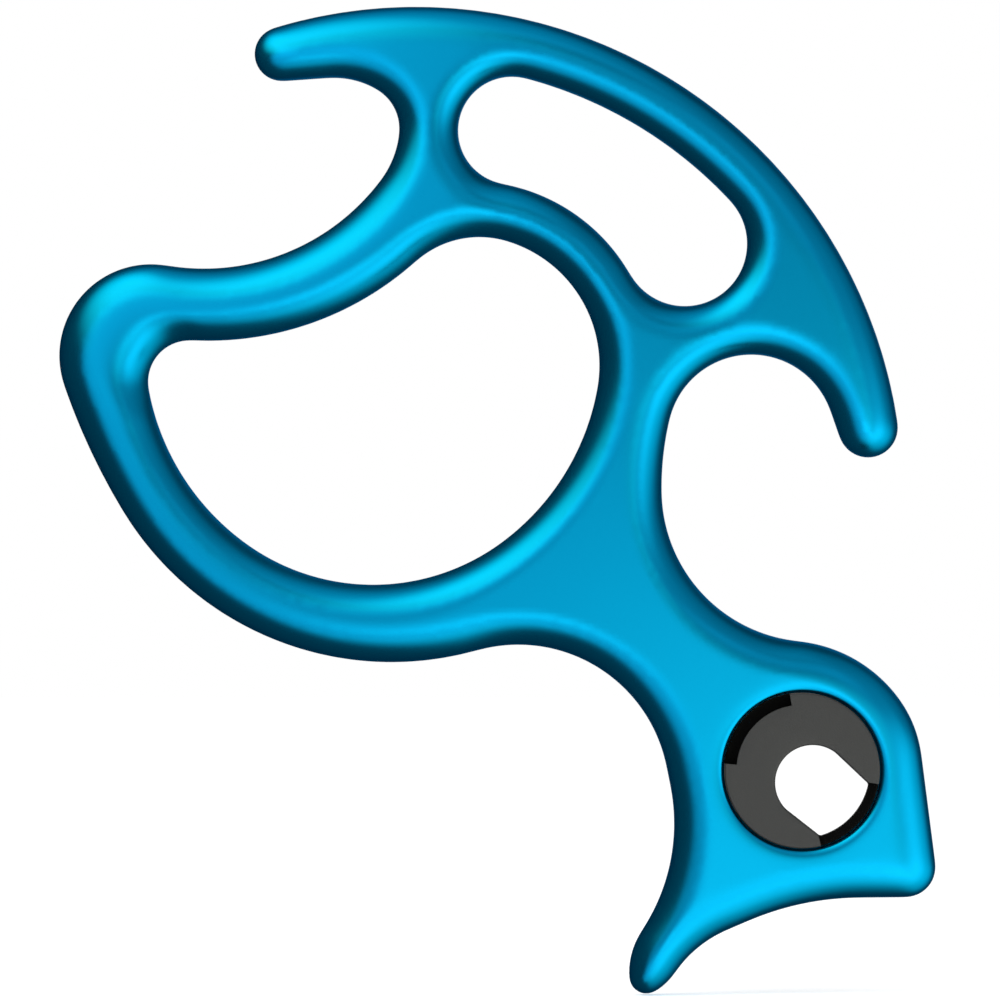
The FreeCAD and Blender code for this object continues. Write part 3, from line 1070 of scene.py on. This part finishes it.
@dataclass
class Studio:
    """A plain pale set: floor, white surround, two soft lamps and the panels for the reflections.

    Sizes are in metres, and the sensor's in millimetres.
    """

    middle: tuple[float, float, float] = (-0.04673, 0.0, 0.04185)
    frame_width: float = 0.155
    distance: float = 2.0
    sensor: float = 36.0
    floor_z: float = -0.0349
    floor_reach: float = 3.0
    floor_colour: str = "#F4F4F4"
    floor_glow: float = 0.34
    surround_light: float = 0.75
    tent_radius: float = 1.2
    tent_glow: float = 0.095
    plateau: float = 0.15
    panels: tuple[Panel, ...] = (
        Panel("left_panel", -124.1, 36.4, 0.70, 0.63, 0.81, 0.65),
        Panel("top_panel", 124.2, 65.6, 0.177, 0.25, 1.72, 0.20, blue=0.70),
        Panel("low_right_panel", -41.5, 20.1, 0.247, 0.096, 1.07, 0.24, blue=0.80),
        Panel("top_strip_panel", 100.4, 85.9, 0.224, 0.233, 0.52, 0.20),
        Panel("lower_side_panel", -35.6, 73.6, 0.299, 0.333, 1.03, 0.20, blue=0.84),
        Panel("near_left_panel", -142.8, 5.3, 0.70, 0.08, 0.37, 0.20),
        Panel("narrow_strip_panel", 113.5, 25.0, 0.425, 0.108, 0.49, 0.20),
        Panel("low_panel", -56.8, 60.5, 0.436, 0.146, 0.64, 0.22, blue=0.88),
        Panel("right_panel", 11.8, 59.3, 0.627, 0.162, 0.33, 0.22),
        Panel("far_right_panel", 10.6, 97.6, 0.463, 0.128, 0.27, 0.20),
        Panel("rear_top_panel", 50, 20, 0.35, 0.35, 0.55, 0.60, Side.REAR),
        Panel("rear_panel", -60, 8, 0.35, 0.35, 0.60, 0.60, Side.REAR),
    )
    soft_lamps: tuple[Lamp, ...] = (
        Lamp("key_lamp", (-0.5, -0.7, 0.8), 6.0),
        Lamp("fill_lamp", (0.6, -0.8, 0.5), 3.0),
    )

    def glow(self, name: str) -> bpy.types.Material:
        """Makes the see-through glowing fabric of the panels, bright in the middle and nothing at the rim.

        Args:
            name: The material's name.

        Returns:
            The material, which reads each panel's own UV map and its attributes radiance and tint.
        """
        material, tree = new_material(name)
        place = add_node(tree, "ShaderNodeUVMap", uv_map="spread")
        far = add_node(tree, "ShaderNodeVectorMath", {0: place.outputs[0]}, operation="LENGTH")
        share = add_node(
            tree,
            "ShaderNodeMapRange",
            {0: far.outputs["Value"], 1: self.plateau, 2: 1.0, 3: 1.0, 4: 0.0},
            interpolation_type="SMOOTHSTEP",
        )
        power = add_node(tree, "ShaderNodeAttribute", attribute_name="radiance", attribute_type="GEOMETRY")
        strength = add_node(
            tree, "ShaderNodeMath", {0: share.outputs[0], 1: power.outputs["Fac"]}, operation="MULTIPLY"
        )
        tint = add_node(tree, "ShaderNodeAttribute", attribute_name="tint", attribute_type="GEOMETRY")
        light = add_node(
            tree, "ShaderNodeEmission", {"Color": tint.outputs["Color"], "Strength": strength.outputs[0]}
        )
        clear = add_node(tree, "ShaderNodeBsdfTransparent")
        both = add_node(tree, "ShaderNodeAddShader", {0: light.outputs[0], 1: clear.outputs[0]})
        add_node(tree, "ShaderNodeOutputMaterial", {"Surface": both.outputs[0]})
        return material

    def stand(self, panel: Panel, fabric: bpy.types.Material) -> bpy.types.Object:
        """Stands a panel in the set, facing the object's middle.

        Args:
            panel: The panel.
            fabric: Its glowing material.

        Returns:
            The panel's object.
        """
        angle, tilt = math.radians(panel.angle), math.radians(panel.tilt)
        ahead = panel.side.value * math.cos(tilt)
        towards = Vector((math.sin(tilt) * math.cos(angle), ahead, math.sin(tilt) * math.sin(angle)))
        across = Vector((-math.sin(angle), 0, math.cos(angle)))
        along = towards.cross(across)
        centre = Vector(self.middle) + towards * panel.distance
        wide, high = across * panel.half_width, along * panel.half_height
        corners = [centre + wide * u + high * v for u, v in CORNERS]
        mesh = bpy.data.meshes.new(panel.name)
        mesh.from_pydata(corners, [], [(0, 1, 2, 3)])
        spread = mesh.uv_layers.new(name="spread")
        for loop, corner in zip(spread.data, CORNERS):
            loop.uv = corner
        power = mesh.attributes.new("radiance", "FLOAT", "POINT")
        power.data.foreach_set("value", [panel.radiance] * 4)
        tint = mesh.attributes.new("tint", "FLOAT_COLOR", "POINT")
        tint.data.foreach_set("color", [1.0, 1.0, panel.blue, 1.0] * 4)
        mesh.materials.append(fabric)
        return self.set_aside(mesh_object(panel.name, mesh))

    @staticmethod
    def set_aside(obj: bpy.types.Object) -> bpy.types.Object:
        """Marks a part of the set that only reflections see.

        Args:
            obj: The part.

        Returns:
            The same part.
        """
        obj.visible_camera = False
        obj.visible_shadow = False
        obj.visible_diffuse = False
        obj.visible_transmission = False
        return obj

    def tent(self) -> bpy.types.Object:
        """Closes the set with a dark tent, which gives the metal its dark edges.

        Returns:
            The tent's object.
        """
        shell = bmesh.new()
        bmesh.ops.create_icosphere(shell, subdivisions=4, radius=self.tent_radius)
        bmesh.ops.translate(shell, verts=shell.verts, vec=self.middle)
        mesh = bpy.data.meshes.new("tent")
        shell.to_mesh(mesh)
        shell.free()
        material, tree = new_material("dark_tent_cloth")
        glow = add_node(tree, "ShaderNodeEmission", {"Color": (1, 1, 1, 1), "Strength": self.tent_glow})
        add_node(tree, "ShaderNodeOutputMaterial", {"Surface": glow.outputs[0]})
        mesh.materials.append(material)
        return self.set_aside(mesh_object("tent", mesh))

    def floor(self) -> bpy.types.Object:
        """Lays the pale floor, which looks white and keeps the object's shadow.

        Returns:
            The floor's object.
        """
        mesh = bpy.data.meshes.new("floor")
        reach = self.floor_reach
        mesh.from_pydata([(x * reach, y * reach, self.floor_z) for x, y in CORNERS], [], [(0, 1, 2, 3)])
        obj = mesh_object("floor", mesh)
        material, tree = new_material("pale_floor")
        paint = add_node(tree, "ShaderNodeBsdfDiffuse", {"Color": linear(self.floor_colour)})
        seen = add_node(tree, "ShaderNodeLightPath").outputs["Is Camera Ray"]
        strength = add_node(tree, "ShaderNodeMath", {0: seen, 1: self.floor_glow}, operation="MULTIPLY")
        glow = add_node(tree, "ShaderNodeEmission", {"Strength": strength.outputs[0]})
        both = add_node(tree, "ShaderNodeAddShader", {0: paint.outputs[0], 1: glow.outputs[0]})
        add_node(tree, "ShaderNodeOutputMaterial", {"Surface": both.outputs[0]})
        mesh.materials.append(material)
        obj.visible_glossy = False
        return obj

    def world(self) -> None:
        """Sets a surround that looks white, also in mirrors and glass, and lights the rest evenly."""
        world = bpy.data.worlds.new("studio")
        bpy.context.scene.world = world
        world.use_nodes = True
        tree = world.node_tree
        tree.nodes.clear()
        path = add_node(tree, "ShaderNodeLightPath").outputs
        seen = path["Is Camera Ray"]
        for kind in ("Is Glossy Ray", "Is Transmission Ray"):
            either = add_node(tree, "ShaderNodeMath", {0: seen, 1: path[kind]}, operation="MAXIMUM")
            seen = either.outputs[0]
        strength = add_node(tree, "ShaderNodeMapRange", {0: seen, 3: self.surround_light, 4: 1.0})
        light = {"Color": (1, 1, 1, 1), "Strength": strength.outputs[0]}
        glow = add_node(tree, "ShaderNodeBackground", light)
        add_node(tree, "ShaderNodeOutputWorld", {"Surface": glow.outputs[0]})

    def lamps(self) -> None:
        """Hangs two soft lamps above, in front of the object."""
        for lamp in self.soft_lamps:
            data = bpy.data.lights.new(lamp.name, "AREA")
            data.size = lamp.size
            data.energy = lamp.power
            obj = bpy.data.objects.new(lamp.name, data)
            centre = Vector(self.middle) + Vector(lamp.place)
            obj.location = centre
            obj.rotation_euler = (Vector(self.middle) - centre).to_track_quat("-Z", "Y").to_euler()
            obj.visible_glossy = False
            bpy.context.scene.collection.objects.link(obj)

    def camera(self) -> None:
        """Sets the camera square on to the plate, far enough for a nearly parallel view."""
        data = bpy.data.cameras.new("camera")
        data.sensor_width = self.sensor
        data.sensor_height = self.sensor
        data.sensor_fit = "HORIZONTAL"
        data.lens = self.sensor * self.distance / self.frame_width
        data.clip_start = 0.01
        data.clip_end = 20.0
        obj = bpy.data.objects.new("camera", data)
        obj.location = Vector(self.middle) + Vector((0, -self.distance, 0))
        obj.rotation_euler = (math.radians(90), 0, 0)
        bpy.context.scene.collection.objects.link(obj)
        bpy.context.scene.camera = obj

    def build(self) -> None:
        """Builds the whole set."""
        bpy.context.scene.view_settings.view_transform = "Standard"
        self.world()
        self.floor()
        self.lamps()
        self.tent()
        fabric = self.glow("panel_fabric")
        for panel in self.panels:
            self.stand(panel, fabric)
        self.camera()


def main() -> None:
    """Builds the descender and its studio."""
    logging.basicConfig(level=logging.INFO, format="%(name)s %(message)s")
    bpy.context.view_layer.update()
    Studio().build()
    for maker in (ForgedPlate(), Keeper()):
        obj = maker.build()
        LOG.info("%s: %d faces", obj.name, len(obj.data.polygons))


if __name__ == "__main__":
    main()
